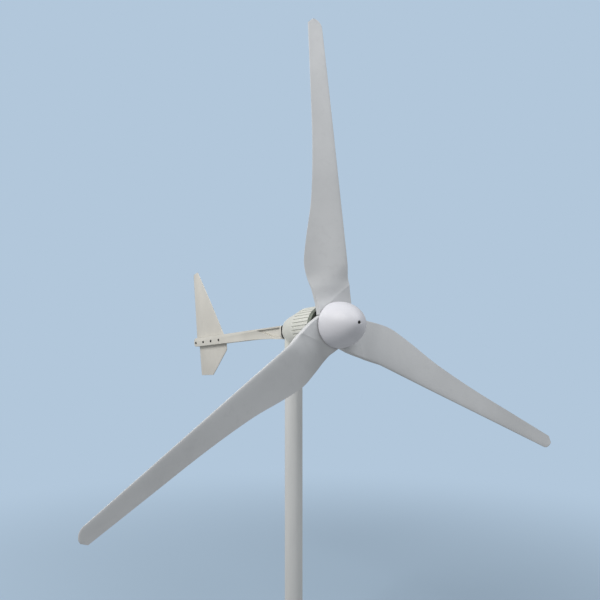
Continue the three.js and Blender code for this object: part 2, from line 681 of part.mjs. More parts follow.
// ---- Tail ------------------------------------------------------------------------------------
function armFlangeShape() {
  const [w, top, bottom, topCorner, corner] = [ARM_FLANGE_HALF_WIDTH, ARM_TOP, -26, 8, 19];
  const shape = new THREE.Shape();
  shape.moveTo(-w, bottom + corner);
  shape.absarc(-w + corner, bottom + corner, corner, Math.PI, 1.5 * Math.PI, false);
  shape.absarc(w - corner, bottom + corner, corner, 1.5 * Math.PI, 2 * Math.PI, false);
  shape.absarc(w - topCorner, top - topCorner, topCorner, 0, 0.5 * Math.PI, false);
  shape.absarc(-w + topCorner, top - topCorner, topCorner, 0.5 * Math.PI, Math.PI, false);
  return shape;
}

function finBoltPlaces() {
  return [0, 1, 2, 3].map((k) => FIN_BOLT_FIRST + k * FIN_BOLT_PITCH);
}

const finHoles = (from, to) => finBoltPlaces().map((y) => {
  return crosswise(hole(3, from, to)).translate(0, y, FIN_BOLT_HEIGHT);
});

function addTail() {
  const gasketFront = BODY_REAR + GAP;
  const gasketRear = gasketFront + GASKET_THICKNESS;
  const flangeFront = gasketRear + GAP;
  const flangeRear = flangeFront + ARM_FLANGE_THICKNESS;
  const boltHoles = () => holesAt(armBoltPlaces(), 3, 40, 60);
  const gasket = endPlate(flipped(armFlangeShape()), gasketFront, gasketRear);
  add(drive, 'tail_gasket', cut(gasket, ...boltHoles()), 'rubber');

  const endRadius = 18.25;
  const beam = new THREE.Shape();
  beam.moveTo(flangeFront, -24);
  beam.lineTo(90, -23);
  beam.quadraticCurveTo(200, -14, 330, -14);
  beam.lineTo(ARM_END - endRadius, ARM_TOP - 2 * endRadius);
  beam.absarc(ARM_END - endRadius, ARM_TOP - endRadius, endRadius, -Math.PI / 2, Math.PI / 2, false);
  beam.lineTo(flangeFront, ARM_TOP);
  const pocket = new THREE.Shape();
  pocket.moveTo(flangeRear, -17.5);
  pocket.lineTo(136, -14);
  pocket.quadraticCurveTo(160, 8, 256, 17);
  pocket.lineTo(flangeRear, 17);
  const webHalf = 7;
  // The web between the pockets is thicker at the top, so each pocket's floor faces a little down.
  const pocketTool = (from, to) => {
    const tool = sidePlate(pocket, from, to);
    const corners = tool.attributes.position;
    for (let i = 0; i < corners.count; i += 1) {
      const x = corners.getX(i);
      if (Math.abs(x) < webHalf + 1) corners.setX(i, x * (1 + corners.getZ(i) / 50));
    }
    return tool;
  };
  const flange = endPlate(flipped(armFlangeShape()), flangeFront, flangeRear);
  const slot = new THREE.BoxGeometry(FIN_PLATE + 2 * GAP, 2 * (ARM_END - FIN_SLOT_START), 100);
  const arm = cut(
    join(sidePlate(beam, -ARM_HALF_WIDTH, ARM_HALF_WIDTH), flange),
    pocketTool(-40, -webHalf),
    pocketTool(webHalf, 40),
    slot.translate(0, ARM_END, 0),
    ...boltHoles(),
    ...finHoles(-40, 40),
  );
  add(drive, 'tail_arm', arm, 'tailWhite');
  armBoltPlaces().forEach(([x, z], i) => {
    const mesh = add(drive, `tail_arm_bolt_${i + 1}`, bolt(3, 24, 5, 4), 'steel');
    mesh.position.set(x, flangeRear + GAP, z);
    mesh.rotation.x = Math.PI;
  });

  // One plate: the tall fin above the arm, the short one below it.
  const fin = shapeFrom([
    [572, 10], [583, 23], [704, 163], [842, 315], [888, 309], [868, 24], [858, 0],
    [842, -15], [828, -140], [705, -141], [557, -40], [560, -15],
  ]);
  const plate = sidePlate(fin, -FIN_PLATE / 2, FIN_PLATE / 2);
  add(drive, 'tail_fin', cut(plate, ...finHoles(-10, 10)), 'finWhite');

  const strip = new THREE.BoxGeometry(3, 4 * FIN_BOLT_PITCH - 60, 14);
  const stripX = ARM_HALF_WIDTH + GAP + 1.5;
  const stripY = FIN_BOLT_FIRST + 1.5 * FIN_BOLT_PITCH;
  strip.translate(stripX, stripY, FIN_BOLT_HEIGHT);
  add(drive, 'fin_backing_strip', cut(strip, ...finHoles(-40, 40)), 'steel');
  finBoltPlaces().forEach((y, i) => {
    const mesh = add(drive, `fin_bolt_${i + 1}`, bolt(3, 2 * ARM_HALF_WIDTH + 6, 5, 3.5, 10), 'darkSteel');
    mesh.position.set(-ARM_HALF_WIDTH - GAP, y, FIN_BOLT_HEIGHT);
    mesh.rotation.z = -Math.PI / 2;
  });
}

// End views are drawn looking along +Y, so an outline's heights are turned over before extrusion.
function flipped(shape) {
  const points = shape.getPoints(4).map(({ x, y }) => [x, -y]);
  return shapeFrom(points.reverse());
}

addMast();
addYawPieces();
addHousing();
addFrontShield();
addGenerator();
addHub();
addNose();
addBlades();
addTail();

export default turbine;
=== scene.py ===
"""Looks of a small three-blade wind turbine on its mast section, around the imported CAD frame.

Shapes are drawn in millimetres in one of three spaces, and a placement matrix turns each into
the frame's metres: BASE has its origin at the foot of the mast, UPRIGHT where the rotor axis
crosses the yaw axis, and DRIVE is UPRIGHT turned so that its Y axis is the tilted rotor axis.
"""
import json
import math

import bmesh
import bpy
from mathutils import Matrix, Vector, noise

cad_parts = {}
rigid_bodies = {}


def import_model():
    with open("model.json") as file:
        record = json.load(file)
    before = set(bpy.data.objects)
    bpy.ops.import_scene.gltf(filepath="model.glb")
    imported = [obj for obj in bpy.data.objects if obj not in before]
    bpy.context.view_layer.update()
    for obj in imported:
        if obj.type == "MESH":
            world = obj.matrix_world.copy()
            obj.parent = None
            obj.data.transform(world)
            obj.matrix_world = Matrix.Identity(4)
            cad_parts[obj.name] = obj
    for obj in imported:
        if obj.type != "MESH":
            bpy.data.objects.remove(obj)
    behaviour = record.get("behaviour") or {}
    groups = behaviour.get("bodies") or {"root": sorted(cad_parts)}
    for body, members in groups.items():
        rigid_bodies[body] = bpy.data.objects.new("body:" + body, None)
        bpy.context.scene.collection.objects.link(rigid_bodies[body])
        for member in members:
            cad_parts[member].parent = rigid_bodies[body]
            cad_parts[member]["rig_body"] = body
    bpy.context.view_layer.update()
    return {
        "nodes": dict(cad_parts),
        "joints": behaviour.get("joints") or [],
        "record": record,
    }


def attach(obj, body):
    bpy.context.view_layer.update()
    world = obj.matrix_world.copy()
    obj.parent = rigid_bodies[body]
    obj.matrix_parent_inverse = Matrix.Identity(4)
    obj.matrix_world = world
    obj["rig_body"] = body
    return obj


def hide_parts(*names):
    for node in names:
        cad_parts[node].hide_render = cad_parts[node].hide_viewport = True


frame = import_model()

# ---- Spaces ------------------------------------------------------------------------------------
MM = 0.001
JOINTS = {joint["name"]: joint for joint in frame["joints"]}
AXIS_CROSSING = Vector(JOINTS["yaw"]["pos_m"])
TILT = -math.asin(JOINTS["rotor_spin"]["axis"][2])
BASE = Matrix.Scale(MM, 4)
UPRIGHT = Matrix.Translation(AXIS_CROSSING) @ BASE
DRIVE = UPRIGHT @ Matrix.Rotation(-TILT, 4, "X")
SLOTS = {part["node"]: part["material_slot"] for part in frame["record"]["subparts"]}
BODY_OF = {node: obj["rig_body"] for node, obj in frame["nodes"].items()}

# ---- Dimensions shared by several pieces, in millimetres ---------------------------------------
GAP = 0.3
PIPE_RADIUS = 30.15
PIPE_BORE = 26.55
PIPE_TOP_BELOW = 135
BODY_FRONT = -208.7
BODY_REAR = 44
BODY_RADIUS = 70
SHIELD_FRONT = -225
SHIELD_BOSS_FRONT = -231
ROTOR_PLANE = -268
ROOT_THICKNESS = 22
BLADE_1_AZIMUTH = math.radians(-3.1)
BLADE_BOLT_AT = (22, 46)
NOSE_BASE = -281
NOSE_LENGTH = 118
NOSE_RADIUS = 73
NOSE_FULLNESS = 1.84
ARM_HALF_WIDTH = 15
ARM_TOP = 22.5
ARM_END = 872
FIN_BOLT_STATIONS = [603 + 82 * k for k in range(4)]
FIN_BOLT_HEIGHT = 2
ARM_BOLT_PLACES = [(-14, 11), (14, 11), (-13, -11.5), (13, -11.5)]
# Height from the axis crossing, and the direction of the bolt's axis about the mast.
SPINDLE_BOLTS = [(-160, 0), (-185, math.pi / 2)]

# Radii of the clearance holes.
M8_HOLE = 4.3
M6_HOLE = 3.3
M5_HOLE = 2.8


# ---- Outline helpers ---------------------------------------------------------------------------
def rounded(points, radius, steps=4):
    """The outline with every corner replaced by a short curve that starts `radius` from it."""
    result = []
    count = len(points)
    radii = radius if isinstance(radius, (list, tuple)) else [radius] * count
    for i, point in enumerate(points):
        corner = Vector(point)
        if radii[i] == 0:
            result.append(tuple(corner))
            continue
        before = Vector(points[i - 1]) - corner
        after = Vector(points[(i + 1) % count]) - corner
        start = corner + before.normalized() * min(radii[i], before.length * 0.48)
        end = corner + after.normalized() * min(radii[i], after.length * 0.48)
        for k in range(steps + 1):
            t = k / steps
            result.append(tuple(start * (1 - t) ** 2 + corner * 2 * t * (1 - t) + end * t * t))
    return result


def arc(centre, radius, start, end, steps):
    """Points on an arc, with its angles in degrees from the first axis towards the second."""
    angles = [math.radians(start + (end - start) * k / steps) for k in range(steps + 1)]
    return [(centre[0] + radius * math.cos(a), centre[1] + radius * math.sin(a)) for a in angles]


def smooth(table, at):
    """Smooth interpolation through (position, value) pairs, with a Catmull-Rom slope at each."""
    last = len(table) - 1
    i = next((k - 1 for k, (x, _) in enumerate(table) if x > at), last - 1)
    i = max(i, 0)

    def slope(k):
        before, after = table[max(k - 1, 0)], table[min(k + 1, last)]
        return (after[1] - before[1]) / (after[0] - before[0])

    (x0, y0), (x1, y1) = table[i], table[i + 1]
    span = x1 - x0
    t = min(max((at - x0) / span, 0), 1)
    bend = t * (1 - t) ** 2 * span * slope(i) + t * t * (t - 1) * span * slope(i + 1)
    return y0 + (y1 - y0) * t * t * (3 - 2 * t) + bend


def ease(low, high, value):
    """A smooth step from 0 at low to 1 at high."""
    t = min(max((value - low) / (high - low), 0), 1)
    return t * t * (3 - 2 * t)


# ---- Mesh helpers ------------------------------------------------------------------------------
def bridge(bm, first, second):
    """Faces between two closed loops of vertices; a loop of one vertex makes a fan."""
    count = max(len(first), len(second))
    for k in range(count):
        after = (k + 1) % count
        corners = [first[k % len(first)], first[after % len(first)]]
        corners += [second[after % len(second)], second[k % len(second)]]
        bm.faces.new(list(dict.fromkeys(corners)))


def skin(loops, closed=False):
    """A body skinned over loops of points. A closed one joins its last loop to its first."""
    bm = bmesh.new()
    rings = [[bm.verts.new(point) for point in loop] for loop in loops]
    for first, second in zip(rings, rings[1:] + rings[:1] if closed else rings[1:]):
        bridge(bm, first, second)
    if not closed:
        for ring in (rings[0], rings[-1]):
            if len(ring) > 1:
                bm.faces.new(ring)
    bmesh.ops.recalc_face_normals(bm, faces=bm.faces)
    return bm


def revolved(rings, segments=96, angles=None):
    """A body round the Y axis from (radius, y) rings; a radius may be a function of the angle."""
    angles = angles or [2 * math.pi * k / segments for k in range(segments)]
    loops = []
    for radius, y in rings:
        if radius == 0:
            loops.append([(0, y, 0)])
            continue
        reach = radius if callable(radius) else lambda _, fixed=radius: fixed
        loops.append([(reach(a) * math.sin(a), y, reach(a) * math.cos(a)) for a in angles])
    return skin(loops, closed=rings[0][0] != 0)


def plate(outline, low, high, axes):
    """A flat plate: its outline lies on two axes, and it runs from low to high along the third."""
    third = ({"x", "y", "z"} - set(axes)).pop()

    def place(point, height):
        values = {axes[0]: point[0], axes[1]: point[1], third: height}
        return (values["x"], values["y"], values["z"])

    return skin([[place(p, low) for p in outline], [place(p, high) for p in outline]])


def merged(*parts):
    """Several bmeshes as one, without joining their surfaces."""
    whole = bmesh.new()
    for part in parts:
        mesh = bpy.data.meshes.new("part")
        part.to_mesh(mesh)
        part.free()
        whole.from_mesh(mesh)
        bpy.data.meshes.remove(mesh)
    return whole


def moved(bm, *matrices):
    for matrix in matrices:
        bm.transform(matrix)
    return bm


def to_object(name, bm):
    mesh = bpy.data.meshes.new(name)
    bm.to_mesh(mesh)
    bm.free()
    obj = bpy.data.objects.new(name, mesh)
    bpy.context.scene.collection.objects.link(obj)
    return obj


def modified(bm, kind, other=None, **settings):
    """The bmesh after one modifier, whose second object is made from another bmesh."""
    obj = to_object("work", bm)
    modifier = obj.modifiers.new("step", kind)
    helper = to_object("helper", other) if other else None
    if helper:
        modifier.object = helper
    for key, value in settings.items():
        setattr(modifier, key, value)
    graph = bpy.context.evaluated_depsgraph_get()
    result = bmesh.new()
    result.from_mesh(obj.evaluated_get(graph).to_mesh())
    for used in filter(None, (obj, helper)):
        mesh = used.data
        bpy.data.objects.remove(used)
        bpy.data.meshes.remove(mesh)
    return result


def cut(bm, *tools):
    return modified(bm, "BOOLEAN", merged(*tools), operation="DIFFERENCE", solver="MANIFOLD")


def joined(bm, *others):
    for other in others:
        bm = modified(bm, "BOOLEAN", other, operation="UNION", solver="MANIFOLD")
    return bm


def bevelled(bm, width, steps=3, angle=35):
    settings = {"width": width, "segments": steps, "limit_method": "ANGLE"}
    return modified(bm, "BEVEL", angle_limit=math.radians(angle), **settings)


def rod(radius, low, high, segments=24):
    return revolved([(0, low), (radius, low), (radius, high), (0, high)], segments)


def drilled(places, radius, low, high, segments=16):
    """Tools for holes along Y at (x, z) places."""
    return [moved(rod(radius, low, high, segments), Matrix.Translation((x, 0, z))) for x, z in places]


TO_X = Matrix.Rotation(math.radians(-90), 4, "Z")  # turns a shape made along Y to lie along X
TO_Z = Matrix.Rotation(math.radians(90), 4, "X")  # and this one to stand along Z


def piece(name, bm, placement, node, smooth_below=32):
    """Adds a finished piece that stands for a CAD node, with that node's body and material.

    Edges that bend by `smooth_below` degrees or more are sharp, and so are those marked before.
    """
    bm.transform(placement)
    bmesh.ops.recalc_face_normals(bm, faces=bm.faces)
    for face in bm.faces:
        face.smooth = True
    for edge in bm.edges:
        edge.smooth = edge.smooth and edge.calc_face_angle(0) < math.radians(smooth_below)
    obj = to_object(name, bm)
    obj.data.materials.append(MATERIALS[SLOTS[node]])
    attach(obj, BODY_OF[node])
    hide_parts(node)
    return obj


# ---- Materials ---------------------------------------------------------------------------------
def shade(value):
    """A linear value from an sRGB one between 0 and 255."""
    share = value / 255
    return share / 12.92 if share <= 0.04045 else ((share + 0.055) / 1.055) ** 2.4


def colour(red, green, blue):
    return (shade(red), shade(green), shade(blue), 1)


class Finish:
    """A Principled material whose colour, gloss and relief vary with the place on the object."""

    def __init__(self, name, metallic=0.0, coat=0.0):
        self.material = bpy.data.materials.new(name)
        self.material.use_nodes = True
        self.tree = self.material.node_tree
        self.shader = self.tree.nodes["Principled BSDF"]
        self.shader.inputs["Metallic"].default_value = metallic
        self.shader.inputs["Coat Weight"].default_value = coat
        self.shader.inputs["Coat Roughness"].default_value = 0.25
        self.place = self.node("ShaderNodeTexCoord").outputs["Object"]
        self.tint = None
        self.relief = None

    def node(self, kind, **settings):
        made = self.tree.nodes.new(kind)
        for key, value in settings.items():
            setattr(made, key, value)
        return made

    def link(self, source, target):
        self.tree.links.new(source, target)

    def noise(self, scale, stretch=(1, 1, 1), detail=4, roughness=0.55):
        """A noise pattern with about `scale` features in a metre."""
        mapping = self.node("ShaderNodeMapping")
        mapping.inputs["Scale"].default_value = stretch
        pattern = self.node("ShaderNodeTexNoise")
        pattern.inputs["Scale"].default_value = scale
        pattern.inputs["Detail"].default_value = detail
        pattern.inputs["Roughness"].default_value = roughness
        self.link(self.place, mapping.inputs["Vector"])
        self.link(mapping.outputs["Vector"], pattern.inputs["Vector"])
        return pattern.outputs["Fac"]

    def ramp(self, source, low, high, bottom=0.0, top=1.0):
        """Maps source from low..high to bottom..top, and holds it there."""
        spread = self.node("ShaderNodeMapRange", interpolation_type="SMOOTHSTEP")
        values = {"From Min": low, "From Max": high, "To Min": bottom, "To Max": top}
        for key, value in values.items():
            spread.inputs[key].default_value = value
        self.link(source, spread.inputs["Value"])
        return spread.outputs["Result"]

    def paint(self, tone, mask=None, amount=1.0):
        """Lays a colour over what is there, where the mask is 1."""
        if self.tint is None:
            self.tint = tone
            return self
        mix = self.node("ShaderNodeMix", data_type="RGBA")
        factor, bottom, top = mix.inputs[0], mix.inputs[6], mix.inputs[7]
        if isinstance(self.tint, tuple):
            bottom.default_value = self.tint
        else:
            self.link(self.tint, bottom)
        top.default_value = tone
        scaled = self.node("ShaderNodeMath", operation="MULTIPLY")
        scaled.inputs[1].default_value = amount
        self.link(mask, scaled.inputs[0])
        self.link(scaled.outputs["Value"], factor)
        self.tint = mix.outputs[2]
        return self

    def painted_shade_mask(self, distance, low=0.35, high=0.9):
        """A mask of painted shade from ambient occlusion: 1 in corners and grooves, and 0 on open
        faces.
        """
        occlusion = self.node("ShaderNodeAmbientOcclusion", samples=6)
        occlusion.inputs["Distance"].default_value = distance
        return self.ramp(occlusion.outputs["AO"], low, high, 1.0, 0.0)

    def edges(self, distance):
        """A mask that is 1 along outer edges, in broken patches."""
        occlusion = self.node("ShaderNodeAmbientOcclusion", samples=6, inside=True, only_local=True)
        occlusion.inputs["Distance"].default_value = distance
        rubbed = self.ramp(occlusion.outputs["AO"], 0.3, 0.75, 1.0, 0.0)
        patches = self.ramp(self.noise(55, detail=5, roughness=0.7), 0.42, 0.6)
        both = self.node("ShaderNodeMath", operation="MULTIPLY")
        self.link(rubbed, both.inputs[0])
        self.link(patches, both.inputs[1])
        return both.outputs["Value"]

    def bump(self, pattern, height, strength=1.0):
        relief = self.node("ShaderNodeBump")
        relief.inputs["Strength"].default_value = strength
        relief.inputs["Distance"].default_value = height
        self.link(pattern, relief.inputs["Height"])
        if self.relief is not None:
            self.link(self.relief, relief.inputs["Normal"])
        self.relief = relief.outputs["Normal"]
        return self

    def gloss(self, pattern, smoothest, roughest):
        self.link(self.ramp(pattern, 0.3, 0.7, smoothest, roughest), self.shader.inputs["Roughness"])
        return self

    def done(self):
        self.link(self.tint, self.shader.inputs["Base Color"])
        if self.relief is not None:
            self.link(self.relief, self.shader.inputs["Normal"])
        return self.material


def coating(name, light, dark, grime_and_shade, roughness, grain, grain_height, streak=(1, 1, 1), crevice_shade=0.45):
    """A painted or moulded surface: slow clouds of tone, specks, grime and painted shade in corners,
    rubbed edges.
    """
    finish = Finish(name)
    clouds = finish.noise(5, streak, detail=5)
    blotches = finish.noise(38, streak, detail=6, roughness=0.65)
    fine = finish.noise(grain, detail=3)
    finish.paint(light)
    finish.paint(dark, finish.ramp(clouds, 0.35, 0.7), 0.55)
    finish.paint(dark, finish.ramp(blotches, 0.5, 0.72), 0.35)
    finish.paint(grime_and_shade, finish.ramp(finish.noise(420, detail=2), 0.68, 0.78), 0.22)
    # Painted shade: the grime colour laid into corners and grooves, where ambient occlusion finds
    # little light.
    finish.paint(grime_and_shade, finish.painted_shade_mask(0.009), crevice_shade)
    finish.paint(grime_and_shade, finish.edges(0.001), 0.2)
    finish.gloss(blotches, roughness - 0.06, roughness + 0.08)
    finish.bump(blotches, 0.0002, 0.25)
    finish.bump(fine, grain_height, 0.55)
    return finish.done()


def metal(name, light, dark, roughness, grain, grain_height, stretch=(1, 1, 1), metallic=0.9):
    """A bare or plated metal: uneven plating and stains, painted shade in the corners, and fine tool
    marks.
    """
    finish = Finish(name, metallic=metallic)
    stains = finish.noise(70, detail=6, roughness=0.7)
    marks = finish.noise(grain, stretch, detail=3)
    finish.paint(light)
    finish.paint(dark, finish.ramp(stains, 0.4, 0.7), 0.75)
    # Painted shade: the dark colour laid into corners, where ambient occlusion finds little light.
    finish.paint(dark, finish.painted_shade_mask(0.006), 0.7)
    finish.gloss(stains, roughness - 0.08, roughness + 0.12)
    finish.bump(marks, grain_height, 0.6)
    return finish.done()


def rubber(name, light, dark):
    finish = Finish(name)
    dust = finish.noise(130, detail=6, roughness=0.7)
    finish.paint(dark)
    finish.paint(light, finish.ramp(dust, 0.45, 0.75), 0.8)
    finish.gloss(dust, 0.6, 0.85)
    finish.bump(finish.noise(1500, detail=2), 0.00012, 0.7)
    return finish.done()


def laminations(name):
    """Stacked steel sheets, whose edges show as fine lines round the core."""
    finish = Finish(name, metallic=0.85)
    lines = finish.noise(1400, (0.01, 1, 0.01), detail=1)
    rust = finish.noise(60, detail=6)
    finish.paint(colour(120, 124, 130))
    finish.paint(colour(62, 64, 70), finish.ramp(lines, 0.45, 0.6), 0.8)
    finish.paint(colour(110, 78, 55), finish.ramp(rust, 0.55, 0.75), 0.5)
    finish.gloss(rust, 0.35, 0.6)
    finish.bump(lines, 0.0003, 0.6)
    return finish.done()


def windings(name):
    """Enamelled wire laid round the core's ends."""
    finish = Finish(name, metallic=0.6, coat=0.6)
    wires = finish.noise(900, (1, 0.15, 1), detail=2)
    varnish = finish.noise(45, detail=5)
    finish.paint(colour(190, 110, 62))
    finish.paint(colour(118, 58, 30), finish.ramp(wires, 0.42, 0.62), 0.8)
    finish.paint(colour(90, 40, 22), finish.ramp(varnish, 0.5, 0.75), 0.5)
    finish.gloss(varnish, 0.28, 0.45)
    finish.bump(wires, 0.0005, 0.8)
    return finish.done()


# The third colour of each coating is its grime. It goes on as specks and along rubbed edges, and as
# painted shade in corners and grooves.
MATERIALS = {
    "blade_plastic": coating("blade_plastic", colour(220, 221, 223), colour(205, 206, 208),
                             colour(150, 150, 146), 0.46, 1100, 0.00008),
    "nose_plastic": coating("nose_plastic", colour(229, 229, 236), colour(218, 218, 224),
                            colour(170, 170, 168), 0.44, 900, 0.00004),
    "housing_paint": coating("housing_paint", colour(229, 230, 224), colour(214, 215, 208),
                             colour(112, 116, 108), 0.5, 520, 0.0003, crevice_shade=0.2),
    "tail_paint": coating("tail_paint", colour(228, 225, 217), colour(212, 209, 201),
                          colour(118, 116, 108), 0.5, 520, 0.0003),
    "fin_paint": coating("fin_paint", colour(222, 219, 212), colour(208, 205, 198),
                         colour(140, 137, 128), 0.55, 760, 0.00012),
    "mast_paint": coating("mast_paint", colour(228, 229, 229), colour(212, 214, 215),
                          colour(122, 118, 110), 0.48, 640, 0.00015, streak=(1, 1, 0.12)),
    "bare_casting": metal("bare_casting", colour(128, 134, 124), colour(78, 83, 76),
                          0.55, 480, 0.0005, metallic=0.55),
    "machined_steel": metal("machined_steel", colour(176, 178, 181), colour(120, 122, 126),
                            0.3, 1400, 0.00006, stretch=(1, 1, 0.08)),
    "laminated_steel": laminations("laminated_steel"),
    "zinc_bolts": metal("zinc_bolts", colour(190, 191, 188), colour(140, 138, 128),
                        0.36, 1800, 0.00005),
    "dark_bolts": metal("dark_bolts", colour(52, 52, 54), colour(28, 28, 29),
                        0.45, 1800, 0.00008, metallic=0.6),
    "copper_alloy": windings("copper_alloy"),
    "magnet_steel": metal("magnet_steel", colour(150, 154, 158), colour(96, 99, 104),
                          0.3, 900, 0.0001),
    "black_rubber": rubber("black_rubber", colour(58, 58, 56), colour(24, 24, 25)),
    "black_plastic": rubber("black_plastic", colour(50, 51, 53), colour(26, 27, 29)),
}


# ---- Fasteners, made along +Y with the head's underside at y = 0 -------------------------------
def hexagon(across_flats):
    """The radius of a hexagon at each angle."""
    half = across_flats / 2

    def reach(angle):
        turn = (angle + math.pi / 6) % (math.pi / 3) - math.pi / 6
        return half / math.cos(turn)

    return reach


def socket(across_flats, top, depth):
    """Rings of a hexagonal recess, from the bottom of the recess to its rim."""
    hexed = hexagon(across_flats)
    return [(0, top + depth * 1.15), (hexed, top + depth), (hexed, top + 0.25),
            (lambda a: hexed(a) + 0.25, top)]


def shank(radius, length):
    return [(radius, 0), (radius, length - radius * 0.3), (radius * 0.72, length), (0, length)]


def socket_screw(shank_radius, length, head_radius, head_height, key):
    """A round-headed screw driven by a hexagonal key."""
    top = -head_height
    rings = socket(key, top, head_height * 0.6)
    edge = 0.12 * head_radius
    rings += [(head_radius - edge, top), (head_radius - 0.3 * edge, top + 0.3 * edge),
              (head_radius, top + edge), (head_radius, 0)]
    return revolved(rings + shank(shank_radius, length), 48)


def button_screw(shank_radius, length, head_radius, head_height, key):
    """A domed screw driven by a hexagonal key."""
    rings = socket(key, -head_height, head_height * 0.55)
    start = (key / 2) / math.cos(math.pi / 6) + 0.5
    for k in range(7):
        share = k / 6
        radius = start + (head_radius - start) * math.sin(share * math.pi / 2)
        rings.append((radius, -head_height * math.cos(share * math.pi / 2)))
    return revolved(rings + shank(shank_radius, length), 48)


def hex_bolt(shank_radius, length, across_flats, head_height):
    """A hexagon head with its corners turned off, on a plain shank."""
    flats = hexagon(across_flats)
    top = -head_height
    crown = across_flats * 0.46
    rings = [(0, top), (crown, top)]
    for drop in (0.35, 0.8, 1.4):
        limit = crown + drop * 1.7
        rings.append((lambda a, most=limit: min(flats(a), most), top + drop))
    rings += [(flats, -0.4), (across_flats * 0.48, -0.35), (across_flats * 0.48, 0)]
    return revolved(rings + shank(shank_radius, length), 72)


# ---- Mast --------------------------------------------------------------------------------------
FLANGE_THICKNESS = 12


def spindle_bolt_holes(crossing_height):
    """Holes through the mast, where the axis crossing has the given height."""
    return [moved(rod(M8_HOLE, -40, 40), TO_X, Matrix.Rotation(turn, 4, "Z"),
                  Matrix.Translation((0, 0, crossing_height + height)))
            for height, turn in SPINDLE_BOLTS]


def make_mast():
    flange_radius = 100
    hole_circle = 80
    hole_radius = 7
    chamfer = 1
    profile = rounded([(PIPE_BORE, 0), (flange_radius, 0), (flange_radius, FLANGE_THICKNESS),
                       (PIPE_BORE, FLANGE_THICKNESS)], [0.6, 1.2, 1.5, 0.6])
    holes = []
    for quarter in range(4):
        angle = math.radians(45 + 90 * quarter)
        low, high = -1, FLANGE_THICKNESS + 1
        rings = [(0, low), (hole_radius + chamfer, low), (hole_radius, low + 1.8),
                 (hole_radius, high - 1.8), (hole_radius + chamfer, high), (0, high)]
        spot = Matrix.Translation((hole_circle * math.cos(angle), hole_circle * math.sin(angle), 0))
        holes.append(moved(revolved(rings, 32), TO_Z, spot))
    piece("mast_flange", cut(moved(revolved(profile, 128), TO_Z), *holes), BASE, "base_flange")

    height = AXIS_CROSSING.z / MM - PIPE_TOP_BELOW
    foot = FLANGE_THICKNESS + GAP
    tube = rounded([(PIPE_BORE, foot), (PIPE_RADIUS, foot), (PIPE_RADIUS, height),
                    (PIPE_BORE, height)], [0.3, 0.3, 1.0, 0.6])
    body = cut(moved(revolved(tube, 128), TO_Z), *spindle_bolt_holes(AXIS_CROSSING.z / MM))
    piece("mast_tube", body, BASE, "mast_pipe", smooth_below=40)


def make_weld():
    """The fillet weld round the foot of the pipe, laid down as overlapping ripples."""
    size = 6.5
    foot = FLANGE_THICKNESS
    ripples = 60
    segments = 480
    loops = []
    for k in range(segments):
        angle = 2 * math.pi * k / segments
        ripple = 0.35 * abs(math.sin(angle * ripples / 2))
        wander = 0.5 * noise.noise(Vector((math.cos(angle), math.sin(angle), 0)) * 4)
        reach = size + ripple + wander
        section = [(PIPE_RADIUS - 0.5, foot - 0.4), (PIPE_RADIUS + reach, foot - 0.4)]
        section += [(PIPE_RADIUS + reach * (1 - t) ** 1.25, foot + reach * t ** 1.25)
                    for t in (0.02, 0.2, 0.4, 0.6, 0.8, 0.98)]
        section += [(PIPE_RADIUS - 0.5, foot + reach)]
        loops.append([(r * math.cos(angle), r * math.sin(angle), z) for r, z in section])
    bm = skin(loops, closed=True)
    bm.transform(BASE)
    for face in bm.faces:
        face.smooth = True
    weld = to_object("flange_weld", bm)
    weld.data.materials.append(MATERIALS["mast_paint"])
    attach(weld, "mast")


def make_yaw_pieces():
    bore = 7
    journal = 12.2
    plug = PIPE_BORE - GAP
    shoulder_low = GAP - PIPE_TOP_BELOW
    shoulder_high = -127
    top = -21.9
    bottom = -225
    profile = rounded([
        (bore, bottom), (plug, bottom), (plug, shoulder_low), (PIPE_RADIUS, shoulder_low),
        (PIPE_RADIUS, shoulder_high), (journal, shoulder_high), (journal, top), (bore, top),
    ], [0.6, 2, 0, 0.6, 1.2, 0.8, 0.8, 0.4])
    spindle = cut(moved(revolved(profile, 96), TO_Z), *spindle_bolt_holes(0))
    piece("spindle_turned", spindle, UPRIGHT, "yaw_spindle")
    for i, (height, turn) in enumerate(SPINDLE_BOLTS):
        bolt = moved(hex_bolt(4, 66, 13, 4.8), TO_X, Matrix.Translation((-PIPE_RADIUS - GAP, 0, 0)),
                     Matrix.Rotation(turn, 4, "Z"), Matrix.Translation((0, 0, height)))
        node = f"spindle_bolt_{i + 1}"
        piece(f"{node}_hex", bolt, UPRIGHT, node)
    lip = rounded([(23, -126.7), (29.5, -126.7), (27.3, -123.5), (29.5, -120.3), (23, -120.3)],
                  [0.4, 1.2, 1.5, 1.2, 0.4])
    piece("yaw_lip_seal", moved(revolved(lip, 96), TO_Z), UPRIGHT, "yaw_seal")


# ---- Generator housing -------------------------------------------------------------------------
FIN_COUNT = 36
FIN_HEIGHT = 2.6
FIN_END = -105
FIN_STEP = 2.2  # length over which the fins drop to the skin
FIN_ROOT = BODY_RADIUS - FIN_HEIGHT
# The casting's skin under its fins: station, half width, height above the axis, depth below it.
SKIN = [
    (BODY_FRONT, FIN_ROOT, FIN_ROOT, FIN_ROOT), (-150, FIN_ROOT, FIN_ROOT, FIN_ROOT),
    (FIN_END, 67.2, 67.2, 67.2),
    (-90, 65, 65.2, 65.4), (-72, 60.5, 62, 63), (-45, 52.5, 57.5, 59), (-20, 43.8, 53.5, 54),
    (0, 37.5, 50.5, 48), (20, 30.5, 46, 40), (34, 25.2, 41.6, 34.5), (39, 23.6, 40.2, 32),
    (42, 22.4, 39, 30.5), (BODY_REAR, 20.5, 37, 28),
]
CAVITY_RADIUS = 56
CAVITY_REAR = -80
REAR_BEARING_REAR = -64
BEARING_SEAT_RADIUS = 23.8
NECK_RADIUS = 31
NECK_BOTTOM = -120


